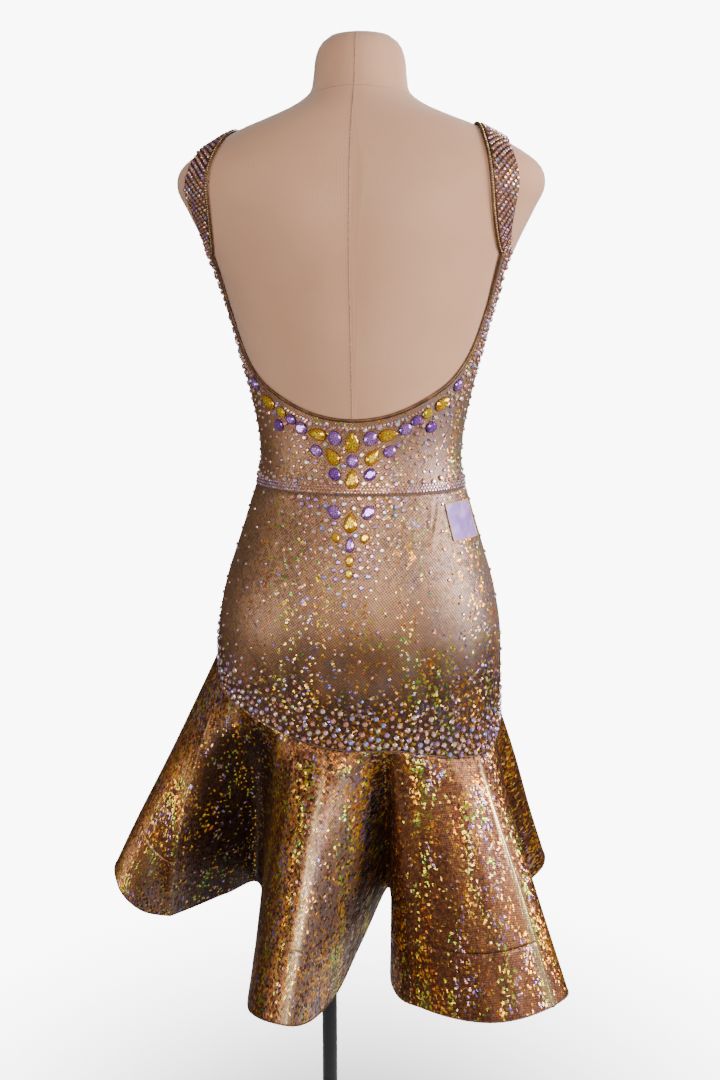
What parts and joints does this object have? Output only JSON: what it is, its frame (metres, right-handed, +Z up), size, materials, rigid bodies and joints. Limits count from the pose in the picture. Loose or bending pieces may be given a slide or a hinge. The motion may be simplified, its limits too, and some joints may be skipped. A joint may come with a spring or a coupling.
{
  "type": "salsa dance dress on a dress form",
  "caption": "Backless salsa dance dress in bronze foil cloth with stone trim and a deep circular flounce, on a limbless dress form with a pole stand.",
  "frame": {"origin": "the point of the stand base's flat underside that lies on the wearer's centre plane, at floor level, in line with the form's neck", "axes": "+Z up from the floor; +Y towards the wearer's back; +X towards the wearer's left"},
  "size_m": [0.5635, 0.5459, 1.508],
  "materials": {
    "foil_cloth": "stretch cloth with a broken foil print, brown with gold, orange and violet flecks",
    "brown_binding": "smooth dark brown stretch binding",
    "label_film": "plain lavender film patch with a narrow gold edge, no print",
    "linen_cover": "close beige linen, matte",
    "black_metal": "black enamel, half gloss"
  },
  "bodies": {
    "root": {"form_torso": "linen_cover", "stand_base": "black_metal", "stand_hub": "black_metal", "stand_pole": "black_metal", "bodice_back": "foil_cloth", "bodice_front": "foil_cloth", "skirt_back": "foil_cloth", "skirt_front": "foil_cloth", "strap_left": "foil_cloth", "strap_right": "foil_cloth", "flounce_back": "foil_cloth", "flounce_front": "foil_cloth", "neck_binding": "brown_binding", "hip_label": "label_film"}
  },
  "joints": []
}
